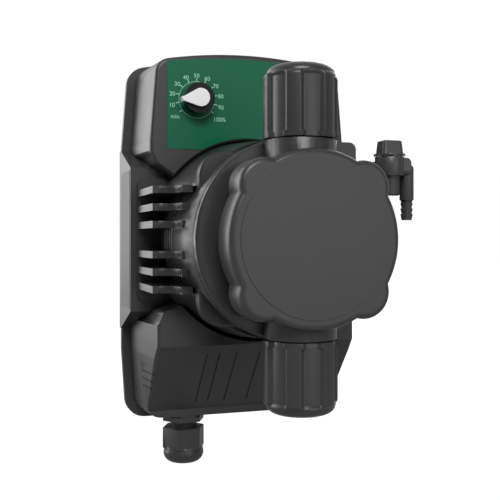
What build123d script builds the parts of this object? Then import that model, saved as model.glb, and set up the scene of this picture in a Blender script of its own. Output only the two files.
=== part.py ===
"""Wall-mounted solenoid diaphragm metering pump, as separate named pieces.

The origin is the centre of the face that lies against the wall, level with the pump axis.
+X is to the right of someone who faces the pump, +Y points into the wall and +Z is up.
A depth is measured forward from the wall, so depth d lies at y = -d. Millimetres throughout.
"""

import os
from math import atan2, cos, degrees, hypot, pi, radians, sin, sqrt

from build123d import *

os.makedirs("parts", exist_ok=True)

# %% driving sizes

# wall plate and rear casing
wall_plate_thickness = 2.0
wall_plate_width = 104.0
wall_plate_height = 168.0
wall_hole_spacing_x = 84.0
wall_hole_spacing_z = 148.0
wall_hole_radius = 2.6
wall_screw_head_radius = 5.5
wall_screw_head_height = 3.0
hook_width = 16.0
hook_height = 7.0
hook_reach = 3.0
hook_spacing = 60.0
hook_drop = 24.0
hook_tongue = 2.4
hook_room = 0.4
casing_half_width = 66.0
casing_top = 110.0
casing_shoulder = 102.5
casing_bottom = 107.4
casing_floor = 4.5
casing_corner = 12.0
casing_taper_top = 3.6
casing_taper_bottom = 2.8
taper_start_top = 55.0
taper_start_bottom = 65.0
spigot_height = 5.0
spigot_wall = 2.0
spigot_gap = 0.9
cover_lip = 5.1
seal_thickness = 1.0
seal_width = 3.0
casing_screw_inset = 9.5
casing_screw_height = 68.0
casing_screw_drop = 72.0
casing_screw_radius = 1.7
casing_screw_head_radius = 3.2
casing_screw_head_height = 2.2
casing_screw_bite = 14.0
screw_post_radius = 4.6
screw_hole_room = 0.3

# saddle: the raised middle of the rear casing that carries the solenoid housing
saddle_overhang = 0.6
saddle_depth = 40.0
saddle_half_height = 40.6
saddle_root_half_height = 53.2
saddle_wall = 3.0
pad_setback = 2.0
pad_start = 9.0
pad_thickness = 0.8
pad_proud = 0.2
pad_inset = 1.2

# front cover
shell_wall = 2.6
panel_depth = 54.0
crest_depth = 70.0
cover_draw_side = 3.9
cover_top_front = 104.8
cover_bottom_front = 101.5
cover_corner = 9.0
slope_start = 57.5
slope_end = 98.3
slope_end_depth = 36.0
front_edge_round = 2.2
opening_edge_bevel = 1.2
boss_gap = 0.4
lower_edge_bevel = 1.5
recess_wall_height_top = 48.5
recess_wall_height_bottom = 47.0
recess_inner_top = 42.0
recess_inner_bottom = 38.6
recess_inner_setback = 2.5
groove_count = 4
groove_first_x = -29.0
groove_first_pitch = 7.2
groove_pitch_growth = 1.37
groove_width = 1.0
groove_cut = 0.6
groove_length_share = 0.76
slit_count = 3
slit_pitch = 4.0
slit_first_drop = 74.4
slit_start_depth = 33.0
slit_run = 26.0
slit_fall = 1.0
slit_width = 0.9
slit_head_radius = 0.9
slit_cut = 0.7

# control label, dial and circuit
label_side_setback = 8.4
label_bottom = 50.5
label_margin = 3.6
label_thickness = 0.5
label_proud = 0.2
label_edge_gap = 0.15
dial_x = -31.8
dial_z = 78.2
knob_radius = 7.6
knob_top_radius = 8.5
knob_height = 7.4
knob_gap = 0.5
cap_radius = 5.0
cap_thickness = 2.2
pointer_length = 10.4
pointer_width = 2.6
pointer_gap = 0.3
pointer_angle = 187.0
pointer_drop = 4.0
shaft_radius = 3.0
shaft_hole_room = 1.2
potentiometer_radius = 8.0
potentiometer_length = 9.0
board_side_setback = 11.0
board_height = 34.0
board_thickness = 1.6
board_z = 78.0
board_depth = 30.0
standoff_radius = 3.0
board_hole_inset = 5.0
board_hole_room = 0.1
board_screw_radius = 1.5
board_screw_grip = 7.0
board_screw_head_radius = 2.7
board_screw_head_height = 1.6
capacitor_radius = 6.0
capacitor_height = 13.0
relay_width = 16.0
relay_height = 11.0
driver_width = 10.0
driver_height = 5.0
component_span = 12.0
component_pitch = 20.0
terminal_width = 34.0
terminal_height = 12.0
terminal_length = 11.0
terminal_z = -86.0
terminal_ways = 4
terminal_screw_radius = 2.0
terminal_wire_radius = 1.5

# solenoid housing
barrel_radius = 50.0
housing_front = 118.0
housing_base_thickness = 3.2
housing_side_setback = 3.8
bell_radius = 56.0
bell_front_radius = 51.5
bell_setback = 10.0
fin_count_per_side = 6
fin_pitch = 9.0
fin_middle_gap = 15.6
fin_thickness = 3.7
fin_setback = 34.0
fin_sweep = 9.5
fin_nose_step = 0.6
ear_half_width = 43.6
ear_corner = 12.0
ear_setback = 20.0
ear_thickness = 8.0
ear_bevel = 1.0
housing_base_half_height = 34.4
housing_screw_radius = 2.0
housing_screw_head_radius = 3.5
housing_screw_head_height = 2.6
housing_screw_grip = 12.0
barrel_groove_width = 1.6
barrel_groove_cut = 1.0
barrel_groove_setback = 10.0
barrel_groove_pitch = 5.6
barrel_groove_count = 5

# solenoid
coil_cavity_radius = 40.0
coil_cavity_setback = 7.0
coil_cavity_end_setback = 18.0
coil_cavity_gap = 0.2
coil_wire_hole_radius = 6.0
bobbin_wall = 1.6
bobbin_bore_radius = 13.2
winding_gap = 0.3
core_radius = 13.0
core_length = 22.0
plunger_radius = 13.1
plunger_length = 24.0
stroke = 1.25
stroke_reserve = 0.35
rod_radius = 4.0
rod_grip = 12.0
running_clearance = 0.05
bush_radius = 8.0
bush_length = 12.0
spring_radius = 6.4
spring_wire = 1.0
spring_pocket = 12.0
spring_turns = 4
bumper_radius = 7.0

# pump head
head_flange_radius = 50.4
head_flange_thickness = 7.0
head_flange_bevel = 1.2
head_length = 29.0
cover_radius = 42.3
lobe_offset = 24.5
lobe_radius = 12.8
lobe_notch_round = 1.6
head_cover_setback = 16.6
head_cover_length = 18.4
head_cover_wall = 2.4
head_cover_edge = 3.0
head_cover_gap = 0.4
face_ring_radius = 37.0
face_ring_step = 0.4
diaphragm_radius = 31.0
diaphragm_thickness = 3.0
diaphragm_hub = 3.5
diaphragm_fold = 1.3
diaphragm_rim_gap = 0.2
chamber_radius = 25.0
chamber_depth = 2.6
insert_radius = 7.0
insert_thickness = 1.6
insert_pocket = 0.6
insert_hub = 3.0
insert_room = 2.0
head_screw_circle = 36.0
head_screw_radius = 2.4
head_screw_head_radius = 4.2
head_screw_head_height = 3.0
head_screw_sink = 1.6
head_screw_socket_radius = 2.3
head_screw_socket_depth = 1.8
head_screw_grip = 14.0

# valves and connector nuts
valve_axis_setback = 13.0
neck_radius = 17.4
neck_top = 47.4
neck_thread_radius = 14.4
neck_thread_top = 60.0
neck_bore_radius = 10.0
neck_bore_floor = 24.0
port_radius = 2.2
port_z = 14.0
valve_body_radius = 9.8
valve_body_top = 58.0
valve_seat_radius = 6.6
valve_seat_lip = 0.2
seat_height = 5.0
valve_seal_height = 1.0
valve_seal_gap = 0.3
valve_seal_bore = 1.5
ball_radius = 3.5
ball_lift = 1.2
ball_room = 0.4
nut_radius = 18.3
nut_valley_radius = 16.4
nut_bottom = 48.0
nut_shoulder = 77.2
nut_top = 83.6
nut_bore_clearance = 0.3
nut_rib_count = 6
nut_rib_base = 33.0
nut_rib_crown = 23.0
nut_rib_phase = 32.0
nut_foot_height = 2.6
nut_foot_spread = 5.0
nut_hood_rise = 2.0
nut_hole_radius = 3.25
nut_free_ring = 0.6
nut_crown_width = 6.0
nut_crown_fall = 1.0
nut_shoulder_round = 1.6
cone_room_top = 74.5
cone_base_radius = 9.4
cone_base_height = 4.0
cone_root_radius = 2.9
cone_tip_radius = 2.1
cone_tip_length = 9.0
cone_gap = 0.1
cone_spigot_step = 0.6
cone_bore_radius = 1.2

# bleed valve
bleed_lug_side = 32.3
bleed_lug_top = 48.6
bleed_lug_round = 3.6
bleed_forward = 6.0
bleed_x = 51.6
bleed_z = 35.2
bleed_arm_radius = 4.2
bleed_arm_start = 27.0
bleed_spigot_radius = 3.2
bleed_spigot_gap = 0.05
bleed_spigot_length = 6.0
bleed_drum_radius = 7.4
bleed_drum_bottom = 32.4
bleed_drum_top = 41.9
bleed_stem_radius = 5.2
bleed_stem_bottom = 22.3
bleed_stem_bevel = 0.8
bleed_block_bottom = 32.8
bleed_block_top = 41.5
bleed_block_width = 10.0
bleed_block_round = 2.6
bleed_knob_radius = 8.0
bleed_knob_gap = 0.4
bleed_knob_skirt = 1.2
bleed_knob_top = 50.3
bleed_grip_length = 12.0
bleed_grip_width = 10.4
bleed_grip_round = 2.4
bleed_grip_taper = 7.0
bleed_grip_edge = 1.0
bleed_spindle_radius = 1.8
bleed_spindle_length = 5.0
bleed_tail_x = 61.4
bleed_tail_radius = 3.6
bleed_tail_top = 38.6
bleed_tail_round = 2.4
bleed_tail_end = 20.2
bleed_barb_radius = 2.6
bleed_barb_end = 10.0
bleed_bore_radius = 1.4

# cable gland
gland_x = -32.5
gland_depth = 25.5
gland_across_flats = 22.0
gland_pad_radius = 11.4
gland_pad_bottom = 103.4
gland_pad_height = 8.8
gland_thread_reach = 10.0
gland_thread_gap = 0.05
gland_hex_bottom = 106.4
gland_thread_radius = 7.8
gland_nut_top = 110.4
gland_nut_bottom = 122.2
gland_end = 130.8
gland_end_radius = 8.6
gland_end_round = 1.6
gland_end_wall = 2.5
gland_collar_step = 0.4
gland_collar_height = 1.0
gland_seat_gap = 0.1
gland_thread_setback = 3.0
gland_seal_gap = 0.1
gland_bore_radius = 4.5
gland_seal_radius = 6.6
gland_turn = 4.0

# %% places worked out from the sizes

side = (-1, 1)
casing_back = wall_plate_thickness
casing_face = casing_back + casing_floor
cover_start = casing_face + seal_thickness
saddle_half_width = casing_half_width + saddle_overhang
cover_half_width_rear = casing_half_width - cover_lip
cover_half_width_front = cover_half_width_rear - cover_draw_side
recess_inner_x = cover_half_width_front - recess_inner_setback
label_half_width = cover_half_width_front - label_side_setback
board_half_width = cover_half_width_front - board_side_setback
housing_start = saddle_depth
housing_half_width = saddle_half_width - housing_side_setback
coil_cavity_start = housing_start + coil_cavity_setback
coil_cavity_end = housing_front - coil_cavity_end_setback
ear_start = housing_front - ear_setback
fin_front = housing_front - fin_setback
head_start = housing_front
head_front = head_start + head_length
head_flange_front = head_start + head_flange_thickness
head_cover_rear = head_start + head_cover_setback
head_cover_front = head_cover_rear + head_cover_length
diaphragm_start = head_start
chamber_start = diaphragm_start + diaphragm_thickness
valve_axis_depth = head_start + valve_axis_setback
bleed_depth = head_start + bleed_forward
bleed_knob_bottom = bleed_drum_top + bleed_knob_gap


def front(depth):
    """Plane parallel to the wall; a sketch on it is extruded forward."""
    return Plane(origin=(0, -depth, 0), x_dir=(1, 0, 0), z_dir=(0, -1, 0))


def profile_plane(x=0.0):
    """Upright plane square to the wall: its first axis is the depth, its second the height."""
    return Plane(origin=(x, 0, 0), x_dir=(0, -1, 0), z_dir=(-1, 0, 0))


def level(z, x=0.0, depth=0.0):
    """Level plane at height z, centred on a depth."""
    return Plane(origin=(x, -depth, z), x_dir=(1, 0, 0), z_dir=(0, 0, 1))


def rod(radius, depth_from, depth_to, x=0.0, z=0.0):
    """Round bar that points away from the wall."""
    return extrude(front(depth_from) * Pos(x, z) * Circle(radius), amount=depth_to - depth_from)


def post(radius, z_from, z_to, x=0.0, depth=0.0):
    """Upright round bar."""
    return extrude(level(z_from, x, depth) * Circle(radius), amount=z_to - z_from)


def tube(outer, inner, depth_from, depth_to, x=0.0, z=0.0):
    return rod(outer, depth_from, depth_to, x, z) - rod(inner, depth_from - 1, depth_to + 1, x, z)


def block(x_from, x_to, depth_from, depth_to, z_from, z_to):
    """Box given by its two corners."""
    size = (x_to - x_from, depth_to - depth_from, z_to - z_from)
    centre = ((x_from + x_to) / 2, -(depth_from + depth_to) / 2, (z_from + z_to) / 2)
    return Pos(*centre) * Box(*size)


def upside_down(shape):
    """The same shape turned over about the pump axis, for the suction side."""
    return mirror(shape, about=Plane.XY)


def save(name, *shapes):
    """Write one sub-part, as one solid or as a group of separate solids."""
    solids = [solid for shape in shapes for solid in shape.solids()]
    whole = solids[0] if len(solids) == 1 else Compound(children=solids)
    whole.label = name
    export_step(whole, f"parts/{name}.step")


# %% outlines


def body_outline(half_width, top, shoulder, bottom, corner, grow=0.0):
    """Front outline of the casing: upright sides drawn in at both ends, an arched top, a flat base."""
    half = half_width + grow
    upper = half - casing_taper_top
    lower = half - casing_taper_bottom
    high = shoulder + grow
    low = -bottom - grow
    right = [(lower, low), (half, -taper_start_bottom), (half, taper_start_top), (upper, high)]
    left = [(-x, z) for x, z in reversed(right)]
    edges = [Line(a, b) for a, b in zip(right, right[1:])]
    edges += [ThreePointArc(right[-1], (0, top + grow), left[0])]
    edges += [Line(a, b) for a, b in zip(left, left[1:])]
    edges += [Line(left[-1], right[0])]
    outline = make_face(Curve() + edges)
    ends = outline.vertices().filter_by(lambda v: v.Y > high - 1 or v.Y < low + 1)
    return fillet(ends, corner + grow)


def casing_outline(grow=0.0):
    return body_outline(casing_half_width, casing_top, casing_shoulder, casing_bottom,
                        casing_corner, grow)


cover_top_rear = casing_top - cover_lip / 2
cover_shoulder_drop = casing_top - casing_shoulder - 1.6
cover_bottom_rear = casing_bottom - cover_lip + 1.0


def cover_outline_rear(grow=0.0):
    return body_outline(cover_half_width_rear, cover_top_rear, cover_top_rear - cover_shoulder_drop,
                        cover_bottom_rear, cover_corner, grow)


def cover_outline_front(grow=0.0):
    return body_outline(cover_half_width_front, cover_top_front,
                        cover_top_front - cover_shoulder_drop, cover_bottom_front,
                        cover_corner, grow)


def scalloped(grow=0.0):
    """Round outline with four lobes on its diagonals and a soft notch beside each lobe."""
    radius = cover_radius + grow
    outline = Sketch() + Circle(radius)
    for sx in side:
        for sz in side:
            outline += Pos(sx * lobe_offset, sz * lobe_offset) * Circle(lobe_radius + grow)
    notches = outline.vertices().filter_by(
        lambda v: abs(hypot(v.X, v.Y) - radius) < 0.01 and min(abs(v.X), abs(v.Y)) > 1)
    return fillet(notches, lobe_notch_round)


# %% rear casing with its saddle


def saddle_profile(grow=0.0):
    """Side view of the saddle: a block that narrows towards its front."""
    face = saddle_half_height + grow
    root = saddle_root_half_height + grow
    depth = saddle_depth + grow
    points = [(casing_back, -root), (casing_face, -root), (depth, -face),
              (depth, face), (casing_face, root), (casing_back, root)]
    return profile_plane() * make_face(Polyline(*points, close=True))


def saddle(half_width, grow=0.0):
    return extrude(saddle_profile(grow), amount=half_width, both=True)


def pad_slot(sx):
    """Side pad, which is also the form of the pocket that holds it."""
    inner = saddle_half_width - pad_thickness + pad_proud
    outer = saddle_half_width + pad_proud
    x_from, x_to = sorted((sx * inner, sx * outer))
    half_height = saddle_half_height - pad_inset
    return block(x_from, x_to, pad_start, saddle_depth - pad_setback, -half_height, half_height)


wall_holes = [(sx * wall_hole_spacing_x / 2, sz * wall_hole_spacing_z / 2)
              for sx in side for sz in side]
casing_screw_x = cover_half_width_rear - casing_screw_inset
casing_screw_places = [(sx * casing_screw_x, z)
                       for sx in side for z in (casing_screw_height, -casing_screw_drop)]
hook_z = wall_plate_height / 2 - hook_drop
board_screw_places = [(sx * (board_half_width - board_hole_inset),
                       board_z + sz * (board_height / 2 - board_hole_inset))
                      for sx in side for sz in side]
housing_screw_circle = (coil_cavity_radius + barrel_radius) / 2
housing_screw_places = [(sx * housing_screw_circle * cos(pi / 4), sz * housing_screw_circle * sin(pi / 4))
                        for sx in side for sz in side]


def wall_plate():
    plate = extrude(front(0) * RectangleRounded(wall_plate_width, wall_plate_height, 6),
                    amount=wall_plate_thickness)
    for x, z in wall_holes:
        plate -= rod(wall_hole_radius, -1, wall_plate_thickness + 1, x, z)
    for sx in side:
        x = sx * hook_spacing / 2
        root = block(x - hook_width / 2, x + hook_width / 2, wall_plate_thickness,
                     wall_plate_thickness + hook_reach, hook_z, hook_z + hook_tongue)
        plate += root
    return plate


def rear_casing():
    tray = extrude(front(casing_back) * casing_outline(), amount=casing_floor)
    spigot_inset = shell_wall + spigot_gap
    rim = front(casing_face) * (cover_outline_rear(-spigot_inset)
                                - cover_outline_rear(-spigot_inset - spigot_wall))
    spigot = extrude(rim, amount=spigot_height)
    spigot -= saddle(2 * casing_half_width, shell_wall + spigot_gap)
    body = tray + spigot + saddle(saddle_half_width)
    inner = profile_plane() * make_face(Polyline(
        (casing_face, -saddle_root_half_height + saddle_wall + 1),
        (saddle_depth - saddle_wall, -saddle_half_height + saddle_wall),
        (saddle_depth - saddle_wall, saddle_half_height - saddle_wall),
        (casing_face, saddle_root_half_height - saddle_wall - 1), close=True))
    body -= extrude(inner, amount=saddle_half_width - saddle_wall - pad_thickness, both=True)
    for sx in side:
        body -= pad_slot(sx)
    for x, z in wall_holes:
        body -= rod(wall_screw_head_radius, casing_back - 1, casing_back + wall_screw_head_height, x, z)
    for sx in side:
        x = sx * hook_spacing / 2
        body -= block(x - hook_width / 2 - hook_room, x + hook_width / 2 + hook_room, casing_back - 1,
                      casing_back + hook_reach + hook_room, hook_z - hook_room, hook_z + hook_height)
    for x, z in casing_screw_places:
        body += rod(screw_post_radius, casing_face, casing_face + spigot_height, x, z)
        body -= rod(casing_screw_radius + screw_hole_room, casing_back - 1,
                    casing_face + spigot_height + 1, x, z)
        body -= rod(casing_screw_head_radius + screw_hole_room, casing_back - 1,
                    casing_back + casing_screw_head_height, x, z)
    for x, z in housing_screw_places:
        body -= rod(housing_screw_radius + screw_hole_room, saddle_depth - saddle_wall - 1,
                    saddle_depth + 1, x, z)
        body -= rod(housing_screw_head_radius + 2 * screw_hole_room, casing_back - 1, casing_face + 1, x, z)
    for x, z in board_screw_places:
        body += rod(standoff_radius, casing_face, board_depth, x, z)
        body -= rod(board_screw_radius, board_depth - board_screw_grip, board_depth + 1, x, z)
    return body - rod(coil_wire_hole_radius, saddle_depth - saddle_wall - 1, saddle_depth + 1)


def side_pads():
    return [pad_slot(sx) for sx in side]


def casing_seal():
    ring = cover_outline_rear(-0.2) - cover_outline_rear(-0.2 - seal_width)
    seal = extrude(front(casing_face) * ring, amount=seal_thickness)
    seal -= saddle(saddle_half_width + 1, 0.3)
    return seal


def casing_screws():
    """Screws driven from the back, through the casing into the front cover."""
    screws = []
    for x, z in casing_screw_places:
        seat = casing_back + casing_screw_head_height
        head = rod(casing_screw_head_radius, seat - casing_screw_head_height + screw_hole_room, seat, x, z)
        shank = rod(casing_screw_radius, seat, cover_start + casing_screw_bite, x, z)
        screws.append(head + shank)
    return screws


# %% control cover above and terminal cover below


def cover_profile(inset=0.0, lip=True):
    """Side view of both covers: level panel above, a crest, a steep slope and a short lip below."""
    run = (crest_depth - slope_end_depth) / (slope_end - slope_start)
    outside = casing_top + 20
    crest = crest_depth - inset
    turn = slope_start + (inset * sqrt(1 + run * run) - inset) / run
    foot = slope_end_depth - inset if lip else cover_start
    heel = turn + (crest - foot) / run
    rear = cover_start - 1 if inset else cover_start
    points = [(rear, -outside), (foot, -outside)] if lip else []
    points += [(foot, -heel), (crest, -turn), (crest, 0), (panel_depth - inset, 0),
               (panel_depth - inset, outside), (rear, outside)]
    return profile_plane() * make_face(Polyline(*points, close=True))


def recess(grow=0.0):
    """The open recesses on both sides of the solenoid housing, where its fins stand."""
    outside = casing_half_width + 20
    points = [(barrel_radius - 14, recess_inner_top - 13),
              (recess_inner_x, recess_inner_top),
              (cover_half_width_front + 0.5, recess_wall_height_top),
              (outside, recess_wall_height_top),
              (outside, -recess_wall_height_bottom),
              (cover_half_width_front + 0.2, -recess_wall_height_bottom),
              (recess_inner_x - 0.5, -recess_inner_bottom),
              (barrel_radius - 14, -recess_inner_bottom + 4.6)]
    right = make_face(Polyline(*points, close=True))
    bends = right.vertices().filter_by(lambda v: recess_inner_x - 2 < v.X < cover_half_width_front + 2)
    right = fillet(bends, 4.0)
    if grow:
        right = offset(right, grow)
    both = right + mirror(right, about=Plane.YZ)
    return extrude(front(0) * both, amount=crest_depth + 20)


def boss_opening(grow=0.0):
    return rod(bell_radius + boss_gap + grow, 0, crest_depth + 20)


def label_outline(grow=0.0):
    """Label area of the panel, cut by the round opening for the solenoid housing."""
    height = casing_top
    area = cover_outline_front(-label_margin + grow)
    area &= Pos(0, label_bottom + height / 2 - grow) * Rectangle(2 * (label_half_width + grow), height)
    return area - Circle(bell_radius + boss_gap + opening_edge_bevel + 2 * label_edge_gap - grow)


def slope_grooves():
    """Shallow upright grooves on the sloping face of the terminal cover, wider apart to the right."""
    fall = slope_end - slope_start
    run = crest_depth - slope_end_depth
    tilt = degrees(atan2(run, fall))
    middle = Pos(0, -(crest_depth + slope_end_depth) / 2, -(slope_start + slope_end) / 2)
    bar = Box(groove_width, 2 * groove_cut, groove_length_share * hypot(run, fall))
    x = groove_first_x
    grooves = []
    for i in range(groove_count):
        grooves.append(Pos(x, 0, 0) * middle * Rot(tilt, 0, 0) * bar)
        x += groove_first_pitch * groove_pitch_growth ** i
    return grooves


def side_slits():
    """Shallow slits in both side walls of the terminal cover, each with a round rear end."""
    draw = cover_draw_side / (crest_depth - cover_start)
    wall_x = cover_half_width_rear - draw * (slit_start_depth - cover_start)
    wall = Plane(origin=(slit_cut - wall_x, -slit_start_depth, 0), x_dir=(draw, -1, 0), z_dir=(-1, -draw, 0))
    fall = Rot(0, 0, -degrees(atan2(slit_fall, slit_run)))
    slits = []
    for i in range(slit_count):
        shape = fall * Pos(slit_run / 2, 0) * Rectangle(slit_run, slit_width) + Circle(slit_head_radius)
        z = -slit_first_drop - i * slit_pitch
        slit = extrude(wall * Pos(0, z) * shape, amount=4 * slit_cut)
        slits += [slit, mirror(slit, about=Plane.YZ)]
    return slits


def cover_shells():
    """Both front covers before they are parted: outer form less recesses, opening and hollow."""
    blank = loft([front(cover_start) * cover_outline_rear(), front(crest_depth) * cover_outline_front()])
    outer = blank & extrude(cover_profile(lip=False), amount=2 * casing_half_width, both=True)
    panel = outer.faces().filter_by(Axis.Y).filter_by(
        lambda f: f.center().Z > 20 and abs(f.center().Y + panel_depth) < 0.1)
    rim = panel.edges().filter_by(lambda e: e.center().Z > 5)
    outer = fillet(rim, front_edge_round)
    lower = outer.faces().filter_by(
        lambda f: f.center().Z < -20 and -f.center().Y > slope_end_depth
        and abs(f.normal_at().Y) > 0.5)
    side_edges = lower.edges().filter_by(lambda e: abs(e.center().X) > 40 and e.center().Z < -5)
    outer = chamfer(side_edges, lower_edge_bevel)
    outer += blank & block(-casing_half_width, casing_half_width, cover_start, slope_end_depth,
                           -casing_bottom, -slope_end + 1)
    hollow = loft([front(cover_start - 1) * cover_outline_rear(-shell_wall),
                   front(crest_depth) * cover_outline_front(-shell_wall)])
    hollow &= extrude(cover_profile(shell_wall), amount=2 * casing_half_width, both=True)
    hollow -= recess(shell_wall)
    hollow -= boss_opening(shell_wall)
    hollow -= saddle(2 * casing_half_width, shell_wall + 0.4)
    shell = outer - recess() - boss_opening() - saddle(2 * casing_half_width, 0.3) - hollow
    post_start = cover_start + spigot_height
    posts = Part() + [rod(screw_post_radius, post_start, crest_depth, x, z) for x, z in casing_screw_places]
    shell += posts & hollow
    for x, z in casing_screw_places:
        shell -= rod(casing_screw_radius, cover_start, cover_start + casing_screw_bite + 1, x, z)
    return shell


def control_cover(shell):
    upper = max(shell.solids(), key=lambda s: s.center().Z)
    panel = upper.faces().filter_by(Axis.Y).filter_by(lambda f: abs(f.center().Y + panel_depth) < 0.1)
    low_z = recess_wall_height_top + 2 * shell_wall
    opening = panel.edges().filter_by(
        lambda e: e.center().Z < low_z or e.geom_type == GeomType.CIRCLE)
    opening = opening.filter_by(lambda e: abs(e.center().X) < recess_inner_x + recess_inner_setback / 2)
    upper = max(chamfer(opening, opening_edge_bevel).solids(), key=lambda s: s.center().Z)
    pocket = label_thickness - label_proud
    upper -= extrude(front(panel_depth - pocket) * label_outline(label_edge_gap), amount=pocket + 1)
    upper -= rod(shaft_radius + shaft_hole_room, panel_depth - shell_wall - 2, panel_depth + 1,
                 dial_x, dial_z)
    return upper


def terminal_cover(shell):
    lower = min(shell.solids(), key=lambda s: s.center().Z)
    pad = post(gland_pad_radius, -gland_pad_bottom, -gland_pad_bottom + gland_pad_height,
               gland_x, gland_depth)
    lower += pad & extrude(cover_profile(), amount=casing_half_width, both=True)
    lower -= post(gland_thread_radius + gland_thread_gap, -gland_pad_bottom - 2,
                  -gland_pad_bottom + gland_pad_height + 1, gland_x, gland_depth)
    for cutter in slope_grooves() + side_slits():
        lower -= cutter
    return lower


def control_label():
    label = extrude(front(panel_depth - label_thickness + label_proud) * label_outline(),
                    amount=label_thickness)
    return label - rod(shaft_radius + shaft_hole_room, panel_depth - 2, panel_depth + 2, dial_x, dial_z)


# %% dial and electronics


def dial_knob():
    start = panel_depth + label_proud + knob_gap
    skirt = loft([front(start) * Pos(dial_x, dial_z) * Circle(knob_radius),
                  front(start + knob_height) * Pos(dial_x, dial_z) * Circle(knob_top_radius)])
    return skirt - rod(shaft_radius + 0.02, start - 1, start + knob_height - 1.5, dial_x, dial_z)


def knob_pointer_cap():
    """White teardrop cap whose tip reaches over the skirt and down towards the scale."""
    bottom = panel_depth + label_proud + knob_gap + knob_height
    tip = Pos(pointer_length - pointer_width / 2, 0) * Circle(pointer_width / 2)
    plan = make_hull((Circle(cap_radius) + tip).edges())
    place = front(bottom) * Pos(dial_x, dial_z) * Rot(0, 0, pointer_angle)
    cap = extrude(place * plan, amount=cap_thickness)
    nose_from = knob_top_radius + pointer_gap
    nose = Pos((nose_from + pointer_length) / 2, 0) * Rectangle(pointer_length - nose_from, pointer_width)
    low = front(bottom - pointer_drop) * Pos(dial_x, dial_z) * Rot(0, 0, pointer_angle)
    cap += extrude(low * nose, amount=pointer_drop + cap_thickness / 2)
    return cap


def pot_shaft():
    return rod(shaft_radius, board_depth + board_thickness + potentiometer_length + 0.1,
               panel_depth + label_proud + knob_gap + knob_height - 1.7, dial_x, dial_z)


def potentiometer():
    back = board_depth + board_thickness
    body = rod(potentiometer_radius, back, back + potentiometer_length, dial_x, dial_z)
    bush_end = panel_depth - shell_wall - 2.5
    body += tube(shaft_radius + 1.5, shaft_radius + running_clearance,
                 back + potentiometer_length, bush_end, dial_x, dial_z)
    return body


def circuit_board():
    board = block(-board_half_width, board_half_width, board_depth, board_depth + board_thickness,
                  board_z - board_height / 2, board_z + board_height / 2)
    for x, z in board_screw_places:
        board -= rod(board_screw_radius + board_hole_room, board_depth - 1,
                     board_depth + board_thickness + 1, x, z)
    return board


def board_components():
    """Relay, capacitor and transformer blocks on the front of the board."""
    back = board_depth + board_thickness
    low = board_z - component_span / 2
    high = board_z + component_span / 2
    capacitor = rod(capacitor_radius, back, back + capacitor_height, component_pitch / 2, board_z)
    relay = block(component_pitch, component_pitch + relay_width, back, back + relay_height, low, high)
    driver = block(-driver_width, 0, back, back + driver_height, low, high)
    return [capacitor, relay, driver]


def board_screws():
    seat = board_depth + board_thickness
    return [rod(board_screw_radius, board_depth - board_screw_grip + 1, seat, x, z)
            + rod(board_screw_head_radius, seat, seat + board_screw_head_height, x, z)
            for x, z in board_screw_places]


def terminal_block():
    strip = block(-terminal_width / 2, terminal_width / 2, casing_face, casing_face + terminal_length,
                  terminal_z - terminal_height / 2, terminal_z + terminal_height / 2)
    pitch = terminal_width / terminal_ways
    for i in range(terminal_ways):
        x = -terminal_width / 2 + (i + 0.5) * pitch
        strip -= rod(terminal_screw_radius, casing_face + 2 * terminal_length / 3,
                     casing_face + terminal_length + 1, x, terminal_z + terminal_screw_radius / 2)
        strip -= post(terminal_wire_radius, terminal_z - terminal_height / 2 - 1,
                      terminal_z - terminal_screw_radius / 2, x, casing_face + terminal_length / 2)
    return strip


# %% finned solenoid housing


def fin(z):
    """One cooling fin on both sides: deep outer edge, then a hollow sweep forward to the barrel."""
    root = barrel_radius - 5
    inner = barrel_radius + fin_nose_step
    r = fin_sweep
    outer = housing_half_width
    shapes = []
    for sx in side:
        corner = (inner + r, fin_front)
        lower = (inner, fin_front + r)
        bend = (inner + r - r * sin(pi / 4), fin_front + r - r * cos(pi / 4))
        line = Curve() + [
            Line((root, housing_start + 1), (outer, housing_start + 1)),
            Line((outer, housing_start + 1), (outer, fin_front)),
            Line((outer, fin_front), corner),
            ThreePointArc(corner, bend, lower),
            Line(lower, (inner, ear_start)),
            Line((inner, ear_start), (root, ear_start)),
            Line((root, ear_start), (root, housing_start + 1)),
        ]
        face = make_face(line)
        plan = Plane(origin=(0, 0, z - fin_thickness / 2), x_dir=(1, 0, 0), z_dir=(0, 0, 1))
        solid = extrude(plan * mirror(face, about=Plane.XZ), amount=fin_thickness)
        shapes.append(solid if sx > 0 else mirror(solid, about=Plane.YZ))
    return shapes


def fin_heights():
    first = fin_middle_gap / 2
    per_half = fin_count_per_side // 2
    return [s * (first + i * fin_pitch) for i in range(per_half) for s in side]


def nut_clearance():
    """Round space left free for the upper connector nut."""
    return post(nut_radius + nut_free_ring, nut_bottom - nut_free_ring, nut_top, 0, valve_axis_depth)


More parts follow.
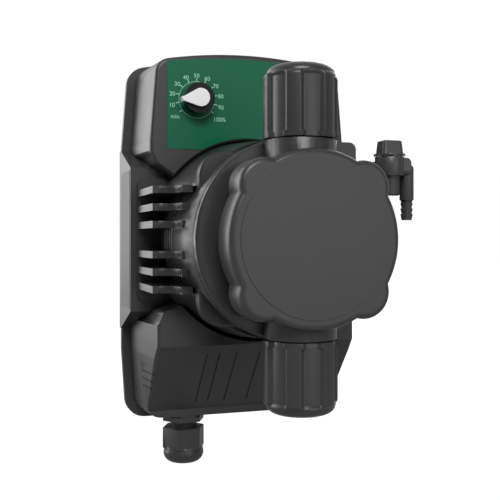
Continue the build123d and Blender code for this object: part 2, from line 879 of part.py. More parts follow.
def solenoid_housing():
    base = extrude(front(housing_start) * RectangleRounded(2 * housing_half_width,
                                                           2 * housing_base_half_height, 4),
                   amount=housing_base_thickness)
    barrel = rod(barrel_radius, housing_start, housing_front)
    for i in range(barrel_groove_count):
        start = housing_start + barrel_groove_setback + i * barrel_groove_pitch
        barrel -= tube(barrel_radius + 1, barrel_radius - barrel_groove_cut,
                       start, start + barrel_groove_width)
    bell_start = housing_start + bell_setback
    bell = loft([front(bell_start) * Circle(bell_radius), front(ear_start + 2) * Circle(bell_front_radius)])
    bell += rod(bell_radius, housing_start + 1, bell_start)
    fin_zone = fin_middle_gap / 2 + (fin_count_per_side // 2 - 1) * fin_pitch + fin_thickness / 2
    window = fin_zone - fin_thickness / 8
    bell -= block(-housing_half_width, housing_half_width, housing_start, housing_front, -window, window)
    ears = extrude(front(ear_start) * RectangleRounded(2 * ear_half_width, 2 * ear_half_width, ear_corner),
                   amount=ear_thickness)
    ears = chamfer(ears.faces().sort_by(Axis.Y)[0].edges(), ear_bevel)
    body = base + barrel + bell + ears
    for z in fin_heights():
        for solid in fin(z):
            body += solid
    body -= rod(coil_cavity_radius, housing_start - 1, coil_cavity_end)
    body -= rod(bush_radius, coil_cavity_end - 1, coil_cavity_end + bush_length)
    body -= rod(insert_radius + insert_room, coil_cavity_end + bush_length, housing_front + 1)
    for x, z in head_screw_places:
        body -= rod(head_screw_radius, housing_front - head_screw_grip, housing_front + 1, x, z)
    for x, z in housing_screw_places:
        body -= rod(housing_screw_radius, housing_start - 1, housing_start + housing_screw_grip, x, z)
    body -= nut_clearance()
    return body - upside_down(nut_clearance())


def housing_screws():
    """Screws driven from inside the saddle into the wall of the housing."""
    screws = []
    seat = saddle_depth - saddle_wall
    for x, z in housing_screw_places:
        screw = rod(housing_screw_radius, seat, housing_start + housing_screw_grip - 1, x, z)
        screw += rod(housing_screw_head_radius, seat - housing_screw_head_height, seat, x, z)
        screws.append(screw)
    return screws


# %% solenoid: coil, pole and plunger


def yoke_plate():
    return rod(coil_cavity_radius - coil_cavity_gap, housing_start + coil_cavity_gap,
               coil_cavity_start - coil_cavity_gap)


def coil_bobbin():
    start = coil_cavity_start
    end = coil_cavity_end
    spool = tube(bobbin_bore_radius + bobbin_wall, bobbin_bore_radius, start, end)
    for edge in (start, end - bobbin_wall):
        spool += tube(coil_cavity_radius - winding_gap, bobbin_bore_radius, edge, edge + bobbin_wall)
    return spool


def coil_winding():
    return tube(coil_cavity_radius - bobbin_wall, bobbin_bore_radius + bobbin_wall + running_clearance,
                coil_cavity_start + bobbin_wall + winding_gap,
                coil_cavity_end - bobbin_wall - winding_gap)


core_start = coil_cavity_end - core_length
plunger_front = core_start - stroke - stroke_reserve
plunger_rear = plunger_front - plunger_length


def pole_core():
    core = tube(core_radius, rod_radius + winding_gap, core_start, coil_cavity_end)
    return core - rod(spring_radius + spring_wire, core_start - 1, core_start + spring_pocket)


def plunger():
    body = rod(plunger_radius, plunger_rear, plunger_front)
    return body - rod(rod_radius, plunger_front - rod_grip, plunger_front + 1)


def push_rod():
    return rod(rod_radius, plunger_front - rod_grip, diaphragm_start + insert_pocket)


def guide_bush():
    return tube(bush_radius, rod_radius + running_clearance, coil_cavity_end,
                coil_cavity_end + bush_length)


def return_spring():
    """Square-wire compression spring between the plunger and the floor of the pocket in the core."""
    height = core_start + spring_pocket - plunger_front - spring_wire - 2 * running_clearance
    path = Helix(pitch=height / spring_turns, height=height, radius=spring_radius)
    wire = Plane(origin=path @ 0, x_dir=(1, 0, 0), z_dir=path % 0) * Rectangle(spring_wire, spring_wire)
    coil = sweep(wire, path=path, is_frenet=True)
    rear = coil.bounding_box().min.Z
    return Pos(0, -plunger_front - running_clearance, 0) * Rot(90, 0, 0) * Pos(0, 0, -rear) * coil


def plunger_bumper():
    return rod(bumper_radius, coil_cavity_start - coil_cavity_gap, plunger_rear)


# %% diaphragm


def diaphragm():
    """Clamped at its rim, thick at the hub, with a thin rolling fold between."""
    disc = rod(diaphragm_radius, diaphragm_start, diaphragm_start + diaphragm_thickness)
    fold = tube(chamber_radius, insert_radius + diaphragm_hub, diaphragm_start - 1,
                diaphragm_start + diaphragm_fold)
    return disc - fold - rod(insert_radius, diaphragm_start - 1, diaphragm_start + insert_thickness)


def diaphragm_insert():
    plate = rod(insert_radius, diaphragm_start, diaphragm_start + insert_thickness)
    plate += tube(insert_radius, rod_radius, diaphragm_start - insert_hub, diaphragm_start)
    return plate - rod(rod_radius, diaphragm_start - 1, diaphragm_start + insert_pocket)


# %% pump head and its cover


head_screw_places = [(sx * head_screw_circle * cos(pi / 4), sz * head_screw_circle * sin(pi / 4))
                     for sx in side for sz in side]


def sideways(radius, x_from, x_to, depth, z):
    """Round bar along the width."""
    return extrude(Plane(origin=(x_from, -depth, z), z_dir=(1, 0, 0)) * Circle(radius), amount=x_to - x_from)


def bleed_lug():
    """Corner lug on the flange that carries the bleed valve."""
    half = bleed_lug_side / 2
    shape = Pos(half, half + bleed_lug_top - bleed_lug_side) * Rectangle(bleed_lug_side, bleed_lug_side)
    corner = shape.vertices().group_by(Axis.X)[-1].sort_by(Axis.Y)[-1]
    return extrude(front(head_start) * fillet(corner, bleed_lug_round), amount=head_flange_thickness)


def pump_head():
    flange = rod(head_flange_radius, head_start, head_flange_front)
    flange = chamfer(flange.faces().sort_by(Axis.Y)[0].edges(), head_flange_bevel)
    flange += bleed_lug()
    flange -= nut_clearance()
    flange -= upside_down(nut_clearance())
    core = front(head_flange_front - 1) * scalloped(-head_cover_wall - head_cover_gap)
    head = flange + extrude(core, amount=head_front - head_flange_front + 1)
    head += post(neck_radius, -neck_top, neck_top, 0, valve_axis_depth)
    head += post(neck_thread_radius, -neck_thread_top, neck_thread_top, 0, valve_axis_depth)
    arm_end = bleed_x - bleed_drum_radius - bleed_knob_gap
    head += sideways(bleed_arm_radius, bleed_arm_start, arm_end, bleed_depth, bleed_z)
    head -= rod(head_flange_radius + 10, head_start - 20, head_start)
    for s in side:
        low, high = sorted((s * neck_bore_floor, s * (neck_thread_top + 1)))
        head -= post(neck_bore_radius, low, high, 0, valve_axis_depth)
        low, high = sorted((s * (port_z - port_radius), s * (neck_bore_floor + 1)))
        head -= post(port_radius, low, high, 0, valve_axis_depth)
        head -= rod(port_radius, chamber_start, valve_axis_depth, 0, s * port_z)
    head -= rod(diaphragm_radius + diaphragm_rim_gap, head_start - 1, chamber_start)
    head -= rod(chamber_radius, chamber_start - 1, chamber_start + chamber_depth)
    for x, z in head_screw_places:
        head -= rod(head_screw_radius + screw_hole_room, head_start - 1, head_front + 1, x, z)
        head -= rod(head_screw_head_radius + screw_hole_room, head_front - head_screw_sink,
                    head_front + 1, x, z)
    return head - sideways(bleed_spigot_radius + bleed_spigot_gap, arm_end - bleed_spigot_length,
                           arm_end + 1, bleed_depth, bleed_z)


def head_screws():
    seat = head_front - head_screw_sink
    top = seat + head_screw_head_height
    screws = []
    for x, z in head_screw_places:
        screw = rod(head_screw_radius, housing_front - head_screw_grip + 1, seat, x, z)
        screw += rod(head_screw_head_radius, seat, top, x, z)
        socket = front(top - head_screw_socket_depth) * Pos(x, z)
        socket *= RegularPolygon(head_screw_socket_radius, 6)
        screws.append(screw - extrude(socket, amount=head_screw_socket_depth + 1))
    return screws


def head_cover():
    """Scalloped cap over the pump head, open at the back, with a notch for each valve neck."""
    face = head_cover_front - face_ring_step
    cap = extrude(front(head_cover_rear) * scalloped(), amount=face - head_cover_rear)
    cap = fillet(cap.faces().sort_by(Axis.Y)[0].edges(), head_cover_edge)
    cap += rod(face_ring_radius, face - 1, head_cover_front)
    inside = front(head_cover_rear - 1) * scalloped(-head_cover_wall)
    cap -= extrude(inside, amount=face - head_cover_wall - head_cover_rear + 1)
    return cap - post(neck_radius + head_cover_gap, -cover_radius - 5, cover_radius + 5, 0, valve_axis_depth)


# %% valves

valve_bottoms = {"suction": -valve_body_top, "discharge": neck_bore_floor + valve_seal_height}
valve_length = valve_body_top - neck_bore_floor - valve_seal_height
ball_seat_rise = sqrt(ball_radius ** 2 - (port_radius + valve_seat_lip) ** 2) + running_clearance
ball_chamber_length = ball_seat_rise + ball_radius + ball_lift + ball_room


def valve_body(bottom):
    """Cartridge with a ball chamber above its seat and a passage to the top."""
    body = post(valve_body_radius, bottom, bottom + valve_length, 0, valve_axis_depth)
    body -= post(valve_seat_radius, bottom - 1, bottom + seat_height, 0, valve_axis_depth)
    body -= post(ball_radius + ball_room, bottom + seat_height - 1,
                 bottom + seat_height + ball_chamber_length, 0, valve_axis_depth)
    body -= post(port_radius, bottom, bottom + valve_length + 1, 0, valve_axis_depth)
    return body


def valve_seat(bottom):
    seat = post(valve_seat_radius, bottom, bottom + seat_height, 0, valve_axis_depth)
    return seat - post(port_radius + valve_seat_lip, bottom - 1, bottom + seat_height + 1,
                       0, valve_axis_depth)


def valve_ball(bottom):
    return Pos(0, -valve_axis_depth, bottom + seat_height + ball_seat_rise) * Sphere(ball_radius)


def valve_seal():
    """Flat ring under the discharge valve, at the bottom of the neck."""
    top = neck_bore_floor + valve_seal_height
    ring = post(neck_bore_radius - valve_seal_gap, neck_bore_floor, top, 0, valve_axis_depth)
    return ring - post(port_radius + valve_seal_bore, neck_bore_floor - 1, top + 1, 0, valve_axis_depth)


# %% connector nuts and tube cones


def rib_valley(angle, narrower, bottom):
    """Cutter for one valley between two ribs of a connector nut, under a sloping hood."""
    floor = nut_valley_radius
    outer = nut_radius + 1
    pitch = 360 / nut_rib_count
    half_floor = radians((pitch - nut_rib_base) / 2 - narrower)
    half_mouth = radians((pitch - nut_rib_crown) / 2 - narrower)
    turn = radians(angle)
    corners = [(floor, turn - half_floor), (outer, turn - half_mouth), (outer * 1.1, turn),
               (outer, turn + half_mouth), (floor, turn + half_floor)]
    section = make_face(Polyline(*[(r * sin(a), -r * cos(a)) for r, a in corners], close=True))
    column = extrude(level(bottom, 0, valve_axis_depth) * section, amount=nut_top - bottom)
    slope = nut_hood_rise / (nut_radius - floor)
    ring = [(nut_hole_radius, bottom), (2 * nut_radius, bottom),
            (2 * nut_radius, nut_shoulder + slope * (nut_radius - floor)),
            (nut_radius, nut_shoulder + nut_hood_rise),
            (nut_hole_radius, nut_shoulder - slope * (floor - nut_hole_radius))]
    hood = revolve(Plane.XZ * make_face(Polyline(*ring, close=True)), axis=Axis.Z)
    return column & (Pos(0, -valve_axis_depth, 0) * hood)


def connector_nut():
    """Ribbed hand nut with a domed end, upright on the discharge neck."""
    crown = nut_hole_radius + nut_crown_width
    shoulder = nut_radius - nut_shoulder_round
    hood_top = nut_shoulder + nut_hood_rise
    bend = (nut_radius - nut_shoulder_round / 3, nut_shoulder + nut_hood_rise / 1.5)
    profile = Curve() + [
        Line((0, nut_bottom), (nut_radius, nut_bottom)),
        Line((nut_radius, nut_bottom), (nut_radius, nut_shoulder)),
        ThreePointArc((nut_radius, nut_shoulder), bend, (shoulder, hood_top)),
        ThreePointArc((shoulder, hood_top), ((shoulder + crown) / 2 + 1, nut_top - nut_crown_fall),
                      (crown, nut_top)),
        Line((crown, nut_top), (0, nut_top)),
        Line((0, nut_top), (0, nut_bottom)),
    ]
    body = Pos(0, -valve_axis_depth, 0) * revolve(Plane.XZ * make_face(profile), axis=Axis.Z)
    foot = nut_bottom + nut_foot_height
    for i in range(nut_rib_count):
        angle = -nut_rib_phase + (i + 0.5) * 360 / nut_rib_count
        body -= rib_valley(angle, 0, foot)
        body -= rib_valley(angle, nut_foot_spread, nut_bottom - 1)
    body -= post(neck_thread_radius + nut_bore_clearance, nut_bottom - 1,
                 neck_thread_top + 2 * nut_bore_clearance, 0, valve_axis_depth)
    body -= post(cone_base_radius + nut_bore_clearance, neck_thread_top, cone_room_top, 0, valve_axis_depth)
    return body - post(nut_hole_radius, cone_room_top - 1, nut_top + 1, 0, valve_axis_depth)


def tube_cone():
    """Cone that the tube is pushed over, held down by the nut."""
    seat = neck_thread_top + cone_gap
    tip_start = seat + cone_base_height
    cone = post(cone_base_radius, seat, tip_start, 0, valve_axis_depth)
    cone += loft([level(tip_start, 0, valve_axis_depth) * Circle(cone_root_radius),
                  level(tip_start + cone_tip_length, 0, valve_axis_depth) * Circle(cone_tip_radius)])
    cone += post(valve_body_radius - cone_spigot_step, valve_body_top + cone_gap, seat, 0, valve_axis_depth)
    return cone - post(cone_bore_radius, valve_body_top - 1, tip_start + cone_tip_length + 1,
                       0, valve_axis_depth)


# %% bleed valve


def bleed_valve_body():
    """Upright stem with a drum and a side block, and a tail turned down to the bleed hose."""
    half = bleed_block_width / 2
    arm = block(bleed_x, bleed_tail_x, bleed_depth - half, bleed_depth + half,
                bleed_block_bottom, bleed_block_top)
    under = arm.faces().sort_by(Axis.Z)[0].edges().filter_by(Axis.X)
    arm = fillet(under, bleed_block_round)
    corner = arm.faces().sort_by(Axis.X)[-1].edges().sort_by(Axis.Z)[-1]
    arm = fillet(corner, bleed_block_round)
    drum = post(bleed_drum_radius, bleed_drum_bottom, bleed_drum_top, bleed_x, bleed_depth)
    stem = post(bleed_stem_radius, bleed_stem_bottom, bleed_drum_bottom, bleed_x, bleed_depth)
    stem = chamfer(stem.faces().sort_by(Axis.Z)[0].edges(), bleed_stem_bevel)
    tail = post(bleed_tail_radius, bleed_tail_end, bleed_tail_top, bleed_tail_x, bleed_depth)
    tail = fillet(tail.faces().sort_by(Axis.Z)[-1].edges(), bleed_tail_round)
    barb = post(bleed_barb_radius, bleed_barb_end, bleed_tail_end, bleed_tail_x, bleed_depth)
    spigot_end = bleed_x - bleed_drum_radius
    spigot = sideways(bleed_spigot_radius, spigot_end - bleed_spigot_length, spigot_end + 1,
                      bleed_depth, bleed_z)
    valve = arm + drum + stem + tail + barb + spigot
    valve -= post(bleed_bore_radius, bleed_barb_end - 1, bleed_block_bottom + half, bleed_tail_x, bleed_depth)
    return valve - post(bleed_spindle_radius + running_clearance, bleed_drum_top - bleed_spindle_length,
                        bleed_drum_top + 1, bleed_x, bleed_depth)


def bleed_knob():
    """Hand knob: a round skirt that narrows into a boxy grip, on an upright spindle."""
    skirt_top = bleed_knob_bottom + bleed_knob_skirt
    skirt = post(bleed_knob_radius, bleed_knob_bottom, skirt_top, bleed_x, bleed_depth)
    grip_height = bleed_knob_top - skirt_top
    grip = extrude(level(skirt_top, bleed_x, bleed_depth)
                   * RectangleRounded(bleed_grip_length, bleed_grip_width, bleed_grip_round),
                   amount=grip_height, taper=bleed_grip_taper)
    grip = fillet(grip.faces().sort_by(Axis.Z)[-1].edges(), bleed_grip_edge)
    spindle = post(bleed_spindle_radius, bleed_drum_top - bleed_spindle_length + bleed_knob_gap,
                   bleed_knob_bottom, bleed_x, bleed_depth)
    return skirt + grip + spindle


# %% cable gland


def gland_post(radius, z_from, z_to):
    return post(radius, z_from, z_to, gland_x, gland_depth)


def gland_hexagon(z_from, z_to):
    section = Rot(0, 0, gland_turn) * RegularPolygon(gland_across_flats / 2, 6, major_radius=False)
    return extrude(level(z_from, gland_x, gland_depth) * section, amount=z_to - z_from)


def gland_body():
    body = gland_hexagon(-gland_hex_bottom, -gland_pad_bottom - gland_seat_gap)
    body += gland_post(gland_thread_radius, -gland_nut_bottom + gland_thread_setback,
                       -gland_pad_bottom + gland_thread_reach)
    return body - gland_post(gland_seal_radius + gland_seal_gap, -gland_nut_bottom,
                             -gland_pad_bottom + gland_thread_reach + 1)


def gland_nut():
    """Six-sided nut that ends in a dome with a round cable hole."""
    collar = gland_across_flats / 2 + gland_collar_step
    dome_start = -gland_nut_bottom - gland_collar_height
    bend = (gland_end_radius + gland_end_round, -gland_end + gland_end_round)
    profile = Curve() + [
        Line((0, -gland_nut_bottom + 1), (collar, -gland_nut_bottom + 1)),
        Line((collar, -gland_nut_bottom + 1), (collar, dome_start)),
        ThreePointArc((collar, dome_start), bend, (gland_end_radius - gland_end_round, -gland_end)),
        Line((gland_end_radius - gland_end_round, -gland_end), (0, -gland_end)),
        Line((0, -gland_end), (0, -gland_nut_bottom + 1)),
    ]
    dome = Pos(gland_x, -gland_depth, 0) * revolve(Plane.XZ * make_face(profile), axis=Axis.Z)
    nut = gland_hexagon(-gland_nut_bottom, -gland_nut_top) + dome
    nut -= gland_post(gland_thread_radius + nut_bore_clearance,
                      -gland_nut_bottom + gland_thread_setback - 0.5, -gland_nut_top + 1)
    nut -= gland_post(gland_seal_radius + gland_seal_gap, -gland_end + gland_end_wall,
                      -gland_nut_bottom + gland_thread_setback)
    return nut - gland_post(gland_bore_radius + nut_bore_clearance, -gland_end - 1,
                            -gland_end + gland_end_wall + 1)


def gland_seal():
    seal = gland_post(gland_seal_radius, -gland_end + gland_end_wall + gland_seal_gap,
                      -gland_nut_bottom + gland_thread_setback - gland_seal_gap)
    return seal - gland_post(gland_bore_radius, -gland_end, -gland_nut_top)


# %% write every piece

save("wall_plate", wall_plate())
save("rear_casing", rear_casing())
save("side_pads", *side_pads())
save("casing_seal", casing_seal())
save("casing_screws", *casing_screws())
shell = cover_shells()
save("control_cover", control_cover(shell))
save("terminal_cover", terminal_cover(shell))
save("control_label", control_label())
save("dial_knob", dial_knob())
save("knob_pointer_cap", knob_pointer_cap())
save("pot_shaft", pot_shaft())
save("potentiometer", potentiometer())
save("circuit_board", circuit_board())
save("board_components", *board_components())
save("board_screws", *board_screws())
save("terminal_block", terminal_block())
save("solenoid_housing", solenoid_housing())
save("housing_screws", *housing_screws())
save("yoke_plate", yoke_plate())
save("coil_bobbin", coil_bobbin())
save("coil_winding", coil_winding())
save("pole_core", pole_core())
save("plunger", plunger())
save("push_rod", push_rod())
save("guide_bush", guide_bush())
save("return_spring", return_spring())
save("plunger_bumper", plunger_bumper())
save("diaphragm", diaphragm())
save("diaphragm_insert", diaphragm_insert())
save("pump_head", pump_head())
save("head_screws", *head_screws())
save("head_cover", head_cover())
for name, bottom in valve_bottoms.items():
    save(f"{name}_valve_body", valve_body(bottom))
    save(f"{name}_valve_seat", valve_seat(bottom))
    save(f"{name}_ball", valve_ball(bottom))
save("discharge_valve_seal", valve_seal())
save("suction_valve_seal", upside_down(valve_seal()))
save("discharge_nut", connector_nut())
save("suction_nut", upside_down(connector_nut()))
save("discharge_tube_cone", tube_cone())
save("suction_tube_cone", upside_down(tube_cone()))
save("bleed_valve_body", bleed_valve_body())
save("bleed_knob", bleed_knob())
save("gland_body", gland_body())
save("gland_nut", gland_nut())
save("gland_seal", gland_seal())
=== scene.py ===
# %% [markdown]
# # A wall-mounted diaphragm metering pump
#
# The pump is dressed piece by piece: each finish is made as a node material, and pieces that need
# finer forms than the frame has are modelled on top of it. Blender works in metres, and `mm` turns
# millimetres into them. +X is to the right of someone who faces the pump, +Y points into the wall
# and +Z is up.

# %% Load the frame
from functools import reduce
from math import cos, degrees, hypot, pi, radians, sin, sqrt

import bmesh
import bpy
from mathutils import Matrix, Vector


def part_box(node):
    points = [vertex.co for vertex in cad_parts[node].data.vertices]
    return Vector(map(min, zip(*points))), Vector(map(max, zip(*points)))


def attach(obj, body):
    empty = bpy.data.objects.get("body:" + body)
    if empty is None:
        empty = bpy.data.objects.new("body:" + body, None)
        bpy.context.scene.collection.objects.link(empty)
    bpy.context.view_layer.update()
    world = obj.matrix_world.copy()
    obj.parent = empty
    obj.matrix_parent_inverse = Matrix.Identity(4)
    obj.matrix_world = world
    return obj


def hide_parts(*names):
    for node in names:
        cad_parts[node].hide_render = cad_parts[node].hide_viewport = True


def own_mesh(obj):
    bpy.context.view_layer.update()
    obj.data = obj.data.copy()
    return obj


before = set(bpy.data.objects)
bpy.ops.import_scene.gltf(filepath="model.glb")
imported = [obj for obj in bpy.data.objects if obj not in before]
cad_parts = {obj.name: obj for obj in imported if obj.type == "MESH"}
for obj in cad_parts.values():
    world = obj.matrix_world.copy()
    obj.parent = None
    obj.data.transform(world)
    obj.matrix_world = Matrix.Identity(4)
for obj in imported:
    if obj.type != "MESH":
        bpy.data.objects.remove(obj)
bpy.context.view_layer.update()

mm = 0.001

# %% [markdown]
# ## Shader maths as plain expressions
#
# A material is a graph of nodes. Wiring Math nodes by hand is hard to read, so `Field` wraps one
# output socket and turns `+`, `*` and the like into Math nodes. The reflected forms let a number
# stand on the left, as in `1 - mask`.

# %% The socket wrapper


class Field:
    """One output of a node, with arithmetic."""

    def __init__(self, finish, socket):
        self.finish = finish
        self.socket = socket

    def maths(self, operation, *values):
        """Math node whose inputs are the values, in their order."""
        settings = {"operation": operation}
        return self.finish.node("ShaderNodeMath", settings, dict(enumerate(values)))

    def __add__(self, other):
        return self.maths("ADD", self, other)

    def __radd__(self, other):
        return self.maths("ADD", other, self)

    def __sub__(self, other):
        return self.maths("SUBTRACT", self, other)

    def __rsub__(self, other):
        return self.maths("SUBTRACT", other, self)

    def __mul__(self, other):
        return self.maths("MULTIPLY", self, other)

    def __rmul__(self, other):
        return self.maths("MULTIPLY", other, self)

    def __lt__(self, other):
        return self.maths("LESS_THAN", self, other)

    def __gt__(self, other):
        return self.maths("GREATER_THAN", self, other)

    def __abs__(self):
        return self.maths("ABSOLUTE", self)

    def root(self):
        return self.maths("SQRT", self)

    def or_more(self, other):
        return self.maths("MAXIMUM", self, other)

    def clamped(self):
        """The value, kept between 0 and 1."""
        return self.maths("MINIMUM", self, 1.0).or_more(0.0)


print("socket wrapper:", Field.__doc__)

# %% [markdown]
# ## One maker for every other node
#
# `Finish.node` takes a node's type, then its settings, then its inputs, each a plain value or a
# `Field` to link. The other methods are short names for nodes that nearly every finish uses:
# place, noise, a mix of two colours, a bump and the shader itself.

# %% The finish builder


class Finish:
    """A node material under construction."""

    def __init__(self, name):
        self.material = bpy.data.materials.new(name)
        self.material.use_nodes = True
        self.tree = self.material.node_tree
        self.tree.nodes.clear()

    @classmethod
    def of_tree(cls, tree):
        """The same way of making nodes for a world, whose tree is there already."""
        finish = cls.__new__(cls)
        finish.tree = tree
        tree.nodes.clear()
        return finish

    def node(self, kind, settings=None, inputs=None, output=0):
        made = self.tree.nodes.new(kind)
        for key, value in (settings or {}).items():
            setattr(made, key, value)
        for key, value in (inputs or {}).items():
            if isinstance(value, Field):
                self.tree.links.new(value.socket, made.inputs[key])
            else:
                made.inputs[key].default_value = value
        return Field(self, made.outputs[output]) if made.outputs else None

    def place(self):
        """Position on the object, in metres."""
        return self.node("ShaderNodeTexCoord", output="Object")

    def noise(self, scale, detail=2.0, place=None):
        inputs = {"Vector": place or self.place(), "Scale": scale, "Detail": detail}
        return self.node("ShaderNodeTexNoise", inputs=inputs)

    def mix_colour(self, factor, first, second):
        """Mix of two colours: socket 0 is the factor, and 6 and 7 are the colours."""
        inputs = {0: factor, 6: first, 7: second}
        return self.node("ShaderNodeMix", {"data_type": "RGBA"}, inputs, output=2)

    def bump(self, height, strength, depth=0.1 * mm):
        inputs = {"Height": height, "Strength": strength, "Distance": depth}
        return self.node("ShaderNodeBump", inputs=inputs)

    def surface(self, **sockets):
        """Principled shader on the output; sockets are named with underscores for spaces."""
        inputs = {key.replace("_", " "): value for key, value in sockets.items()}
        self.end_with(self.node("ShaderNodeBsdfPrincipled", inputs=inputs))
        print("finish:", self.material.name, "from", len(self.tree.nodes), "nodes")
        return self.material

    def end_with(self, shader):
        self.node("ShaderNodeOutputMaterial", inputs={"Surface": shader})


print("finish builder:", Finish.__doc__)

# %% [markdown]
# ## Colours
#
# A colour is written as it looks on a screen, such as 808080 for mid grey, but a shader counts in
# light, where mid grey is only a fifth of white. `linear` turns the one into the other, and
# `tinted` makes the slightly darker and lighter partners that a noise then mixes.

# %% Colour helpers


def linear(hexadecimal):
    """Colour as a shader wants it, from a screen colour such as 4c4c4c."""
    def channel(text):
        value = int(text, 16) / 255
        return value / 12.92 if value <= 0.04045 else ((value + 0.055) / 1.055) ** 2.4
    return tuple(channel(hexadecimal[i:i + 2]) for i in (0, 2, 4)) + (1.0,)


def tinted(hexadecimal, gain, lift=0.0):
    """The colour with its light multiplied by gain and raised by lift, but never above white."""
    return tuple(min(1.0, value * gain + lift) for value in linear(hexadecimal)[:3]) + (1.0,)


print("mid grey is", [round(value, 3) for value in linear("808080")[:3]])

# %% [markdown]
# ## Moulded black plastic
#
# Casing, covers, nuts and head are injection moulded. Such a surface is never one flat black: the
# mould is spark-eroded, so it has a fine grain that breaks up highlights, and flow and handling
# leave faint clouds in gloss and shade. A picture could be wrapped around each piece, but it would
# have to be fitted to every form. Noise needs no fitting, because it is worked out from the place
# on the object: a coarse one makes the clouds and a fine one the grain, which goes through a Bump
# node.

# %% Moulded plastic
cloud_scale, cloud_detail = 38.0, 3.0
grain_scale = 900.0
plastic_ior = 1.5


def moulded(name, colour, roughness, grain=grain_scale, grain_strength=0.3, cloud=0.12,
            specular=0.5):
    finish = Finish(name)
    clouds = finish.noise(cloud_scale, cloud_detail)
    specks = finish.noise(grain)
    base = finish.mix_colour(clouds, tinted(colour, 1 - cloud), tinted(colour, 1 + cloud))
    gloss = roughness - 0.05 + clouds * 0.06 + specks * 0.04
    return finish.surface(Base_Color=base, Roughness=gloss, IOR=plastic_ior,
                          Normal=finish.bump(specks, grain_strength), Specular_IOR_Level=specular)


casing_plastic = moulded("casing plastic", "353536", 0.40)
cover_plastic = moulded("cover plastic", "383839", 0.38)
housing_plastic = moulded("housing plastic", "2e2e2f", 0.38)
head_plastic = moulded("head plastic", "353536", 0.34)
cap_plastic = moulded("cap plastic", "3c3c3d", 0.36)
nut_plastic = moulded("nut plastic", "3a3a3b", 0.32)
bleed_plastic = moulded("bleed plastic", "424243", 0.34)
gland_plastic = moulded("gland plastic", "373738", 0.36)
pad_rubber = moulded("pad rubber", "444445", 0.5)

# %% [markdown]
# ## Plastics of the small pieces
#
# The knob is a duller black than the casing, so that the white pointer stands out from it. The
# label is a printed film with a much finer grain. A darker green on the same film is painted shade
# of the solenoid's boss; the two greens differ only in colour and shine, so one function makes
# both.

# %% Small plastics and the printed film
knob_black = moulded("knob plastic", "0d0d0d", 0.5, specular=0.3)
component_black = moulded("component body", "1c1c1c", 0.4)
terminal_green = moulded("terminal body", "2f7a52", 0.4)
valve_plastic = moulded("valve plastic", "323233", 0.4)


# Fine-grained film finish, for the label and for the painted shade on it.
def film_finish(name, colour, specular):
    return moulded(name, colour, 0.42, grain=2500.0, grain_strength=0.1, cloud=0.05,
                   specular=specular)


label_green = film_finish("label film", "14694a", 0.22)
# Painted shade: a darker green for the shade of the solenoid's boss on the film.
boss_shade_green = film_finish("painted boss shade", "026e49", 0.12)

# %% [markdown]
# ## Slits in the terminal cover
#
# Each side wall of the lower cover has three fine slits with a round rear end. They are much
# narrower than the wall is thick, so bump and painted shade can carry them: the distance from each
# slit's line is worked out from the position on the object, and where it is small the surface is
# lower and painted near black, as painted shade for the inside of the slit.

# %% Where the slits are, in millimetres
slit_count, slit_first, slit_pitch = 3, -74.9, -4.4
slit_start, slit_run, slit_rise = 33.0, 27.0, 0.045
slit_half_width, slit_eye_radius = 0.5, 1.1
side_wall_from = 56.2


def slit_mask(finish):
    """1 inside a slit and 0 outside, on both side walls."""
    x, y, z = (finish.node("ShaderNodeSeparateXYZ", inputs={"Vector": finish.place()}, output=i)
               * (1 / mm) for i in range(3))
    on_wall = abs(x) > side_wall_from
    along = -slit_start - y
    on_run = (along > 0.0) * (along < slit_run) * on_wall
    slits = []
    for index in range(slit_count):
        height = z - (slit_first + slit_pitch * index)
        line = height - along * slit_rise
        distance = (along * along + height * height).root()
        slits += [on_run * (abs(line) < slit_half_width), on_wall * (distance < slit_eye_radius)]
    return reduce(Field.or_more, slits)


print("lowest slit", slit_first + slit_pitch * (slit_count - 1), "mm")

# %% Cover plastic with slits
slitted = Finish("terminal cover plastic")
clouds, specks = slitted.noise(cloud_scale, cloud_detail), slitted.noise(grain_scale)
slit = slit_mask(slitted)
# Painted shade: the near black of the shade inside each slit.
slit_shade = (0.004, 0.004, 0.004, 1)
plain = slitted.mix_colour(clouds, tinted("383838", 0.88), tinted("383838", 1.12))
relief = slitted.bump(specks * 0.3 - slit * 3.0, 0.6)
terminal_plastic = slitted.surface(
    Base_Color=slitted.mix_colour(slit, plain, slit_shade), IOR=plastic_ior,
    Roughness=0.36 + clouds * 0.06 + slit * 0.4, Normal=relief)

# %% [markdown]
# ## Metals
#
# Screws, plunger, yoke and bush are drawn or turned, which leaves fine parallel streaks. A noise
# whose place is stretched along one direction gives such streaks, and it changes colour, gloss and
# bump together, as a real scratch does.

# %% Brushed and turned metal
streak_scale, streak_stretch = 420.0, (1.0, 12.0, 1.0)


def brushed_metal(name, colour, roughness):
    finish = Finish(name)
    place = finish.node("ShaderNodeMapping",
                        inputs={"Vector": finish.place(), "Scale": streak_stretch})
    streaks = finish.noise(streak_scale, 4.0, place)
    base = finish.mix_colour(streaks, tinted(colour, 0.82), linear(colour))
    return finish.surface(Base_Color=base, Metallic=1.0, Roughness=roughness + streaks * 0.12,
                          Normal=finish.bump(streaks, 0.15))


steel = brushed_metal("brushed steel", "b9b9b6", 0.32)
iron = brushed_metal("turned iron", "8a8a88", 0.38)
bronze = brushed_metal("sintered bronze", "a07838", 0.45)

# %% [markdown]
# ## Rubber
#
# Seals and the diaphragm are matt, with a pale bloom in patches and a very fine skin. Two noises
# are enough, as for the plastics, but the rougher surface spreads its highlights wide.

# %% Seals and diaphragm


def rubber(name, colour):
    finish = Finish(name)
    bloom = finish.noise(60.0, 4.0)
    base = finish.mix_colour(bloom, linear(colour), tinted(colour, 1.35, 0.004))
    return finish.surface(Base_Color=base, Roughness=0.62 + bloom * 0.1,
                          Normal=finish.bump(finish.noise(1400.0), 0.2))


